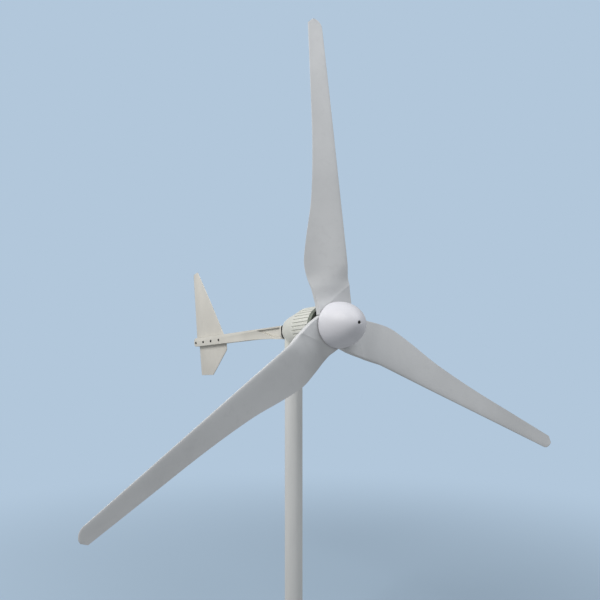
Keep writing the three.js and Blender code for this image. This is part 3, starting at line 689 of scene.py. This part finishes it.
def skin_radius(angle, y):
    """Distance from the rotor axis to the casting's skin, at an angle from the top."""
    width, above, below = (smooth([(row[0], row[k]) for row in SKIN], y) for k in (1, 2, 3))
    rise = above if math.cos(angle) > 0 else below
    return 1 / math.hypot(math.sin(angle) / width, math.cos(angle) / rise)


def make_housing():
    pitch = 2 * math.pi / FIN_COUNT
    # Places across one fin and its groove, in millimetres from the middle of the groove.
    half_pitch = pitch * BODY_RADIUS / 2
    across = [0, 1.3, 1.9, 2.15, 2.4, 2.65, 2.95, 3.6, 4.8, half_pitch]
    wall = (1.9, 2.95)
    angles = []
    heights = []
    for k in range(FIN_COUNT):
        middle = (k + 0.5) * pitch
        for offset in [-x for x in reversed(across[1:-1])] + across:
            angles.append(middle + offset / BODY_RADIUS)
            heights.append(FIN_HEIGHT * ease(*wall, abs(offset)))
    fin_at = dict(zip(angles, heights))

    def ring(y, shrink=0.0):
        end = 1 - ease(FIN_END - FIN_STEP, FIN_END, y)
        return (lambda a: skin_radius(a, y) + fin_at[a] * end - shrink, y)

    finned = [BODY_FRONT + 0.8, BODY_FRONT + 3, -180, -150, -125, -112]
    finned += [FIN_END - FIN_STEP * (1 - k / 5) for k in range(5)]
    tapered = [FIN_END + 0.2] + [-100 + 5 * k for k in range(27)] + [34, 38, 41, 42.6, 43.6]
    rings = [(CAVITY_RADIUS, BODY_FRONT), ring(BODY_FRONT, 0.8)]
    rings += [ring(y) for y in finned + tapered]
    rings += [ring(BODY_REAR, 0.6), (0, BODY_REAR)]
    hollow = [(0, REAR_BEARING_REAR), (BEARING_SEAT_RADIUS, REAR_BEARING_REAR),
              (BEARING_SEAT_RADIUS, CAVITY_REAR), (CAVITY_RADIUS, CAVITY_REAR)]
    barrel = revolved(hollow + rings, angles=angles)

    screw_holes = drilled(shield_screw_places(), M5_HOLE, BODY_FRONT - 1, -190)
    arm_holes = drilled(ARM_BOLT_PLACES, M6_HOLE, 32, BODY_REAR + 1)
    wire_way = drilled([(0, 32)], 5, CAVITY_REAR - 1, -10)
    barrel = cut(barrel, *screw_holes, *arm_holes, *wire_way)
    barrel.transform(Matrix.Rotation(-TILT, 4, "X"))

    housing = joined(barrel, neck())
    bearing_bore = moved(rod(BEARING_SEAT_RADIUS, NECK_BOTTOM - 1, -28.3, 64), TO_Z)
    chamber = moved(rod(22, -60, 38, 64), TO_Z)
    housing = cut(housing, bearing_bore)
    housing = cut(housing, chamber)
    piece("housing_casting", housing, UPRIGHT, "generator_housing", smooth_below=38)


def underside(x, y):
    """Height at which a vertical line enters the casting from below."""
    low, high = -110.0, -4.0
    for _ in range(26):
        z = (low + high) / 2
        along = y * math.cos(TILT) - z * math.sin(TILT)
        up = z * math.cos(TILT) + y * math.sin(TILT)
        inside = math.hypot(x, up) < skin_radius(math.atan2(x, up), along)
        low, high = (low, z) if inside else (z, high)
    return high


def neck():
    """The vertical neck, which flares out to meet the casting's underside."""
    radius, bottom, segments = NECK_RADIUS, NECK_BOTTOM, 96
    shallowest = -18  # greatest height at which the flare may meet the casting
    loops = [[(0, 0, bottom)]]
    columns = []
    # Where the casting is narrow, the flare shrinks until its foot is under the casting.
    for k in range(segments):
        azimuth = 2 * math.pi * k / segments
        direction = Vector((math.sin(azimuth), math.cos(azimuth)))
        flare = 13 - 5 * direction.y
        while flare > 0 and underside(*(direction * (radius + flare))) > shallowest:
            flare -= 0.1
        foot = radius + flare
        height = underside(*(direction * foot)) + 0.15
        slope = height - underside(*(direction * (foot - 1)))
        start = height - 24 - flare
        ends = [Vector((radius, start)), Vector((foot, height))]
        handles = [Vector((radius, start + 20)), ends[1] - Vector((1, slope)).normalized() * 8]
        profile = [(radius - 1.5, bottom), (radius - 0.4, bottom + 0.5), (radius, bottom + 1.6)]
        profile += [(radius, bottom + (start - bottom) * t) for t in (0.4, 0.8)]
        for step in range(13):
            t = step / 12
            point = (ends[0] * (1 - t) ** 3 + handles[0] * 3 * t * (1 - t) ** 2
                     + handles[1] * 3 * t * t * (1 - t) + ends[1] * t ** 3)
            profile.append(tuple(point))
        profile.append((foot - 6, height + 9))
        columns.append([(*(direction * r), z) for r, z in profile])
    loops += [list(row) for row in zip(*columns)]
    loops.append([(0, 0, 0)])
    return skin(loops)


def shield_screw_places():
    circle = 61
    return [(circle * math.cos(a), circle * math.sin(a))
            for a in (math.radians(45 + 90 * k) for k in range(4))]


def make_front_shield():
    rear = BODY_FRONT - GAP
    step = rear - 14
    profile = rounded([
        (18.3, SHIELD_BOSS_FRONT), (34, SHIELD_BOSS_FRONT), (36, SHIELD_FRONT),
        (55, SHIELD_FRONT + 1.5), (57, SHIELD_FRONT), (BODY_RADIUS - 3, SHIELD_FRONT),
        (BODY_RADIUS, SHIELD_FRONT + 3), (BODY_RADIUS, rear), (26.3, rear), (26.3, step), (18.3, step),
    ], [0.5, 1.5, 2.5, 1, 1, 1, 1, 0.4, 0.3, 0.3, 0.3])
    holes = drilled(shield_screw_places(), M5_HOLE, SHIELD_FRONT - 2, rear + 1)
    piece("shield_casting", cut(revolved(profile, 128), *holes), DRIVE, "front_shield")
    for i, (x, z) in enumerate(shield_screw_places()):
        node = f"shield_screw_{i + 1}"
        screw = moved(socket_screw(2.5, 30, 4.5, 4, 4), Matrix.Translation((x, SHIELD_FRONT - GAP, z)))
        piece(f"{node}_socket", screw, DRIVE, node)


# ---- Hub ---------------------------------------------------------------------------------------
def blade_bolt_places():
    side, radius = BLADE_BOLT_AT
    places = []
    for blade in range(3):
        for offset in (-side, side):
            azimuth = BLADE_1_AZIMUTH + blade * 2 * math.pi / 3 + math.atan2(offset, radius)
            reach = math.hypot(radius, offset)
            places.append((reach * math.sin(azimuth), reach * math.cos(azimuth)))
    return places


def make_hub():
    root_rear = ROTOR_PLANE + ROOT_THICKNESS / 2 + GAP
    plate_rear = root_rear + 12
    bore = 12.5
    profile = rounded([
        (bore, root_rear), (64, root_rear), (64, plate_rear - 2), (62, plate_rear),
        (30, plate_rear), (24, SHIELD_BOSS_FRONT - 5), (22, SHIELD_BOSS_FRONT - 2),
        (bore, SHIELD_BOSS_FRONT - 2),
    ], [0.3, 0.6, 0.8, 0.8, 2, 2, 0.8, 0.4])
    holes = drilled(blade_bolt_places(), M8_HOLE, root_rear - 1, plate_rear + 1)
    piece("hub_casting", cut(revolved(profile, 128), *holes), DRIVE, "hub_plate")
    clamp_front = ROTOR_PLANE - ROOT_THICKNESS / 2 - GAP - 7
    for i, (x, z) in enumerate(blade_bolt_places()):
        node = f"blade_bolt_{i + 1}"
        bolt = moved(hex_bolt(4, 40, 13, 5), Matrix.Translation((x, clamp_front - GAP, z)))
        piece(f"{node}_hex", bolt, DRIVE, node)


def make_nose():
    tip = NOSE_BASE - NOSE_LENGTH
    hole = 5.4
    screw_hole = 3
    boss = 9
    wall = 3
    steps = 40

    def dome(radius, length, last, rim):
        """Points of the profile, a little more pointed than an ellipse, from rim to last radius."""
        power = 2 / NOSE_FULLNESS
        start = math.asin((rim / length) ** (1 / power))
        stop = math.acos((last / radius) ** (1 / power))
        turns = [start + (stop - start) * k / steps for k in range(steps + 1)]
        return [(radius * math.cos(t) ** power, NOSE_BASE - length * math.sin(t) ** power)
                for t in turns]

    outside = dome(NOSE_RADIUS, NOSE_LENGTH, hole + 0.7, 1.2)
    inside = dome(NOSE_RADIUS - wall, NOSE_LENGTH - wall, boss, 0.5)[::-1]
    rim = [(NOSE_RADIUS - wall, NOSE_BASE), (NOSE_RADIUS - 0.8, NOSE_BASE),
           (NOSE_RADIUS - 0.1, NOSE_BASE - 0.5)]
    seat = tip + 6
    boss_rear = tip + 16
    well = [(hole + 0.2, tip + 1), (hole, tip + 1.5), (hole, seat), (screw_hole, seat),
            (screw_hole, boss_rear), (boss, boss_rear)]
    shell = revolved(rim + outside + well + inside, 128)
    piece("nose_dome", shell, DRIVE, "nose_cone", smooth_below=40)
    screw = moved(socket_screw(2.5, 20, 3.7, 3, 3), Matrix.Translation((0, seat - GAP, 0)))
    piece("nose_screw_socket", screw, DRIVE, "nose_screw")


# ---- Blades, drawn pointing up, with the leading edge towards +X and the front towards -Y ------
TIP_RADIUS = 967.9
TIP_ROUNDING = 30
TIP_TRAILING_CORNER = 955
ROOT_RADIUS = 76  # the flat root lies under the nose cone up to here
LIFTED_RADIUS = 130  # and outside this radius the blade follows its coning curve
FOLD_DIP = 22  # how steeply the surface falls back behind the crease, before it rises again
# Each against the radius: the distance from the blade's centre line to its trailing edge, its
# twist in degrees, and its thickness.
TRAILING_EDGE = [(75, 62), (110, 70), (150, 83), (185, 90), (215, 90), (290, 77), (400, 55),
                 (570, 39), (765, 31), (960, 24)]
TWIST = [(110, 15), (215, 14), (290, 12.5), (400, 10.4), (570, 9.3), (765, 8.6), (960, 7.5)]
THICKNESS = [(150, 22), (215, 19), (400, 13), (570, 10), (765, 8), (960, 5.5)]


def leading_offset(r):
    straight = 61 - (r - 75) * 0.107 if r < 150 else 53 - (r - 150) * 0.0375
    past = max(r - (TIP_RADIUS - TIP_ROUNDING), 0)
    return straight - (TIP_ROUNDING - math.sqrt(TIP_ROUNDING ** 2 - past ** 2))


def trailing_offset(r):
    return smooth(TRAILING_EDGE, max(r, 75)) - max(r - TIP_TRAILING_CORNER, 0) * 1.3


def coning(r):
    """Distance of the section's middle in front of the rotor plane."""
    return 0.0607 * r - 0.0000158 * r * r


def inner_end(across):
    """The root's inner end, a 120 degree point that clears the shaft."""
    arc_height = math.sqrt(max(14 ** 2 - across ** 2, 0))
    return max(arc_height, abs(across) / math.sqrt(3) + 1)


# The flat root ends in a crease from the leading edge to the root's trailing corner. Each pair
# is a radius at the leading edge and one at the trailing edge.
CREASE = (125, 45)
FULL_SECTION = (195, 165)


def blade_stations():
    """Radii at the two edges, how far the flat has turned in, and the dip behind the crease."""
    flat = [(0, 0, 0, 0), (70, 38, 0, 0), (100, 42, 0, 0), (CREASE[0] - 1.5, CREASE[1] - 1.5, 0, 0)]
    steps = 22
    turning = []
    for k in range(steps + 1):
        t = k / steps
        leading, trailing = (a + (b - a) * t for a, b in zip(CREASE, FULL_SECTION))
        turning.append((leading, trailing, ease(0, 1, t), FOLD_DIP * t * (1 - t) ** 2))
    turned = [(206, 184, 1, 0), (216, 203, 1, 0), (226, 221, 1, 0)]
    straight = [235 + 15 * k for k in range(47)]
    tip = [936, 942, 947, 951, 954, 955.5, 957, 959, 961, 962.6, 964, 965.2, 966.2, 966.8, 967.2]
    return flat + turning + turned + [(r, r, 1, 0) for r in straight + tip]


def blade_section(station, first):
    leading_radius, trailing_radius, turn_in, dip = station
    chord_steps = 28

    def place(u, side):
        nominal = leading_radius + (trailing_radius - leading_radius) * u
        reach = max(nominal, ROOT_RADIUS)
        chord = leading_offset(reach) + trailing_offset(reach)
        along = leading_offset(reach) - u * chord
        r = inner_end(along) if first else nominal
        thick = smooth(THICKNESS, max(r, 150))
        # Four-digit aerofoil thickness and camber, with a blunt trailing edge.
        poly = (0.2969 * math.sqrt(u) - 0.126 * u - 0.3516 * u ** 2 + 0.2843 * u ** 3
                - 0.1036 * u ** 4)
        half = thick * 5 * poly + 0.8 * u
        camber = -0.035 * chord * 4 * u * (1 - u)
        # The flat root has rounded long edges.
        corner = max(abs(2 * u - 1) - 0.94, 0) / 0.06
        edge = math.sqrt(max(1 - 0.75 * corner ** 2.5, 0))
        flat = side * ROOT_THICKNESS * edge / 2
        depth = flat + (camber + side * half - flat) * turn_in
        twist = turn_in * math.radians(smooth(TWIST, max(r, 110)))
        lift = ease(ROOT_RADIUS, LIFTED_RADIUS, r) * coning(r)
        forward = lift - dip + depth * math.cos(twist) + along * math.sin(twist)
        sideways = along * math.cos(twist) - depth * math.sin(twist)
        return (sideways, ROTOR_PLANE - forward, r)

    chordwise = [(1 - math.cos(math.pi * k / (chord_steps - 1))) / 2 for k in range(chord_steps)]
    front = [place(u, 1) for u in chordwise]
    back = [place(u, -1) for u in reversed(chordwise[1:])]
    return front + back


def rounded_off(point):
    return tuple(round(value, 2) for value in point)


def make_blades():
    side, radius = BLADE_BOLT_AT
    stations = blade_stations()
    for k in range(3):
        loops = [blade_section(station, i == 0) for i, station in enumerate(stations)]
        shape = skin(loops)
        bmesh.ops.remove_doubles(shape, verts=shape.verts, dist=0.02)
        holes = drilled([(-side, radius), (side, radius)], M8_HOLE, -300, -230, 24)
        shape = cut(shape, *holes)
        crease = {rounded_off(point) for point in blade_section((*CREASE, 0, 0), False)}
        for edge in shape.edges:
            edge.smooth = not all(rounded_off(vert.co) in crease for vert in edge.verts)
        turn = Matrix.Rotation(BLADE_1_AZIMUTH + k * 2 * math.pi / 3, 4, "Y")
        node = f"blade_{k + 1}"
        piece(f"{node}_moulding", moved(shape, turn), DRIVE, node, smooth_below=24)


# ---- Tail --------------------------------------------------------------------------------------
def arm_flange_outline():
    """The arm's flange in end view: nearly square above, and rounded like a bowl below."""
    half, top, bottom = 24, ARM_TOP, -26
    above, below = 8, 19
    return (arc((-half + below, bottom + below), below, 180, 270, 10)
            + arc((half - below, bottom + below), below, 270, 360, 10)
            + arc((half - above, top - above), above, 0, 90, 6)
            + arc((-half + above, top - above), above, 90, 180, 6))


def fin_holes(reach):
    return [moved(rod(M6_HOLE, -reach, reach, 24), TO_X, Matrix.Translation((0, y, FIN_BOLT_HEIGHT)))
            for y in FIN_BOLT_STATIONS]


def make_tail_arm():
    gasket_front = BODY_REAR + GAP
    gasket_rear = gasket_front + 2.7
    flange_front = gasket_rear + GAP
    flange_rear = flange_front + 9.7
    gasket = bevelled(plate(arm_flange_outline(), gasket_front, gasket_rear, "xz"), 0.3, 2)
    gasket = cut(gasket, *drilled(ARM_BOLT_PLACES, M6_HOLE, 40, 60))
    piece("arm_gasket", gasket, DRIVE, "tail_gasket")

    end_radius = 18.25
    # The beam's underside sweeps up from the flange to the slender rear part.
    underside_curve = [(90 + 240 * t, -23 + 9 * (2 * t - t * t)) for t in (k / 16 for k in range(17))]
    outline = ([(flange_front, -24)] + underside_curve
               + arc((ARM_END - end_radius, ARM_TOP - end_radius), end_radius, -90, 90, 16)
               + [(flange_front, ARM_TOP)])
    beam = plate(outline, -ARM_HALF_WIDTH, ARM_HALF_WIDTH, "yz")
    flange = plate(arm_flange_outline(), flange_front, flange_rear, "xz")
    # Each pocket ends in an edge that sweeps up and back.
    sweep = [(136 + 120 * t, -14 + 31 * (1.42 * t - 0.42 * t * t)) for t in (k / 12 for k in range(13))]
    pocket = [(flange_rear, -17.5)] + sweep + [(flange_rear, 17)]
    web = 7
    pockets = [plate(rounded(pocket, [3] + [0] * len(sweep) + [3]), low, high, "yz")
               for low, high in ((-40, -web), (web, 40))]
    # The web between the pockets is thicker at the top, so each pocket's floor faces a little down.
    for side in pockets:
        for corner in side.verts:
            if abs(corner.co.x) < 40:
                corner.co.x *= 1 + corner.co.z / 50
    slot = plate([(545, -60), (900, -60), (900, 60), (545, 60)], -1.8, 1.8, "yz")
    arm = cut(joined(beam, flange), *pockets, slot)
    arm = bevelled(arm, 1.1, 3, 40)
    arm = cut(arm, *drilled(ARM_BOLT_PLACES, M6_HOLE, 40, 60), *fin_holes(40))
    piece("tail_arm_casting", arm, DRIVE, "tail_arm", smooth_below=36)
    for i, (x, z) in enumerate(ARM_BOLT_PLACES):
        node = f"tail_arm_bolt_{i + 1}"
        bolt = moved(socket_screw(3, 24, 5, 4, 5), Matrix.Rotation(math.pi, 4, "X"),
                     Matrix.Translation((x, flange_rear + GAP, z)))
        piece(f"{node}_socket", bolt, DRIVE, node)


def make_tail_fin():
    outline = rounded([
        (572, 10), (583, 23), (704, 163), (842, 315), (888, 309), (868, 24), (858, 0),
        (842, -15), (828, -140), (705, -141), (557, -40), (560, -15),
    ], [3, 6, 0, 7, 7, 5, 5, 5, 6, 6, 8, 3], steps=6)
    sheet = bevelled(plate(outline, -1.5, 1.5, "yz"), 0.6, 3)
    piece("fin_sheet", cut(sheet, *fin_holes(10)), DRIVE, "tail_fin")

    front, rear = FIN_BOLT_STATIONS[0] - 11, FIN_BOLT_STATIONS[-1] + 11
    near, half = ARM_HALF_WIDTH + GAP, 7
    strip = plate(rounded([(front, FIN_BOLT_HEIGHT - half), (rear, FIN_BOLT_HEIGHT - half),
                           (rear, FIN_BOLT_HEIGHT + half), (front, FIN_BOLT_HEIGHT + half)], 3),
                  near, near + 3, "yz")
    piece("backing_strip", cut(bevelled(strip, 0.4, 2), *fin_holes(40)), DRIVE, "fin_backing_strip")
    for i, y in enumerate(FIN_BOLT_STATIONS):
        node = f"fin_bolt_{i + 1}"
        bolt = moved(button_screw(3, 36, 5, 3.5, 4), TO_X,
                     Matrix.Translation((-ARM_HALF_WIDTH - GAP, y, FIN_BOLT_HEIGHT)))
        piece(f"{node}_button", bolt, DRIVE, node)


# ---- Floor, light and camera -------------------------------------------------------------------
BACKDROP = colour(178, 199, 219)
FILL_STRENGTH = 0.33
# Each softbox: name, direction from the axis crossing, distance and width in metres, watts, tint.
SOFTBOXES = [
    ("key", (-0.75, -0.1, 0.65), 3.2, 1.8, 60, (1.0, 0.98, 0.95)),
    ("front", (0.25, -0.55, 0.8), 3.2, 2.2, 32, (0.96, 0.98, 1.0)),
    ("rim", (-0.5, 0.7, 0.55), 3.0, 1.2, 14, (1.0, 1.0, 1.0)),
]
LENS = 44.57
CAMERA_AZIMUTH = math.radians(-30)
CAMERA_ELEVATION = math.radians(-0.88)
CAMERA_DISTANCE = 2.3195
AIM_FROM_CROSSING = Vector((-0.0972, -0.2116, 0.1027))


def make_floor():
    """A pale disc that fades into the backdrop's colour at its rim."""
    radius = 3.2
    bm = bmesh.new()
    bmesh.ops.create_circle(bm, cap_ends=True, segments=96, radius=radius)
    floor = to_object("studio_floor", bm)
    material = bpy.data.materials.new("studio_floor")
    material.use_nodes = True
    tree = material.node_tree
    tree.nodes.remove(tree.nodes["Principled BSDF"])
    output = tree.nodes["Material Output"]
    matt = tree.nodes.new("ShaderNodeBsdfDiffuse")
    matt.inputs["Color"].default_value = BACKDROP
    glow = tree.nodes.new("ShaderNodeEmission")
    glow.inputs["Color"].default_value = BACKDROP
    place = tree.nodes.new("ShaderNodeTexCoord")
    distance = tree.nodes.new("ShaderNodeVectorMath")
    distance.operation = "LENGTH"
    fade = tree.nodes.new("ShaderNodeMapRange")
    fade.interpolation_type = "SMOOTHSTEP"
    fade.inputs["From Min"].default_value = 0.5
    fade.inputs["From Max"].default_value = radius - 0.2
    mix = tree.nodes.new("ShaderNodeMixShader")
    tree.links.new(place.outputs["Object"], distance.inputs[0])
    tree.links.new(distance.outputs["Value"], fade.inputs["Value"])
    tree.links.new(fade.outputs["Result"], mix.inputs[0])
    tree.links.new(matt.outputs[0], mix.inputs[1])
    tree.links.new(glow.outputs[0], mix.inputs[2])
    tree.links.new(mix.outputs[0], output.inputs["Surface"])
    floor.data.materials.append(material)
    floor.visible_diffuse = False
    floor.visible_glossy = False


def make_world():
    """Even sky-like fill light, and a plain pale backdrop behind the object."""
    world = bpy.data.worlds.new("studio")
    bpy.context.scene.world = world
    world.use_nodes = True
    tree = world.node_tree
    fill = tree.nodes["Background"]
    fill.inputs["Color"].default_value = (0.94, 0.98, 1.0, 1)
    fill.inputs["Strength"].default_value = FILL_STRENGTH
    seen = tree.nodes.new("ShaderNodeBackground")
    seen.inputs["Color"].default_value = BACKDROP
    rays = tree.nodes.new("ShaderNodeLightPath")
    mix = tree.nodes.new("ShaderNodeMixShader")
    tree.links.new(rays.outputs["Is Camera Ray"], mix.inputs[0])
    tree.links.new(fill.outputs[0], mix.inputs[1])
    tree.links.new(seen.outputs[0], mix.inputs[2])
    tree.links.new(mix.outputs[0], tree.nodes["World Output"].inputs["Surface"])


def softbox(name, direction, distance, size, watts, tint):
    light = bpy.data.lights.new(name, "AREA")
    light.shape = "DISK"
    light.size = size
    light.energy = watts
    light.color = tint
    lamp = bpy.data.objects.new(name, light)
    away = Vector(direction).normalized()
    lamp.location = AXIS_CROSSING + away * distance
    lamp.rotation_euler = away.to_track_quat("Z", "Y").to_euler()
    bpy.context.scene.collection.objects.link(lamp)


def make_camera():
    data = bpy.data.cameras.new("camera")
    data.lens = LENS
    camera = bpy.data.objects.new("camera", data)
    flat = math.cos(CAMERA_ELEVATION)
    back = Vector((math.sin(CAMERA_AZIMUTH) * flat, -math.cos(CAMERA_AZIMUTH) * flat,
                   math.sin(CAMERA_ELEVATION)))
    camera.location = AXIS_CROSSING + AIM_FROM_CROSSING + back * CAMERA_DISTANCE
    camera.rotation_euler = back.to_track_quat("Z", "Y").to_euler()
    bpy.context.scene.collection.objects.link(camera)
    bpy.context.scene.camera = camera


def finish_cad_nodes():
    """Gives the CAD nodes that stay in view their slot's material."""
    for name, node in frame["nodes"].items():
        if not node.hide_render:
            node.data.materials.clear()
            node.data.materials.append(MATERIALS[SLOTS[name]])


make_camera()
make_world()
make_floor()
for box in SOFTBOXES:
    softbox(*box)
make_mast()
make_weld()
make_yaw_pieces()
make_housing()
make_front_shield()
make_hub()
make_nose()
make_blades()
make_tail_arm()
make_tail_fin()
finish_cad_nodes()
bpy.context.scene.view_settings.view_transform = "Standard"
bpy.context.view_layer.update()
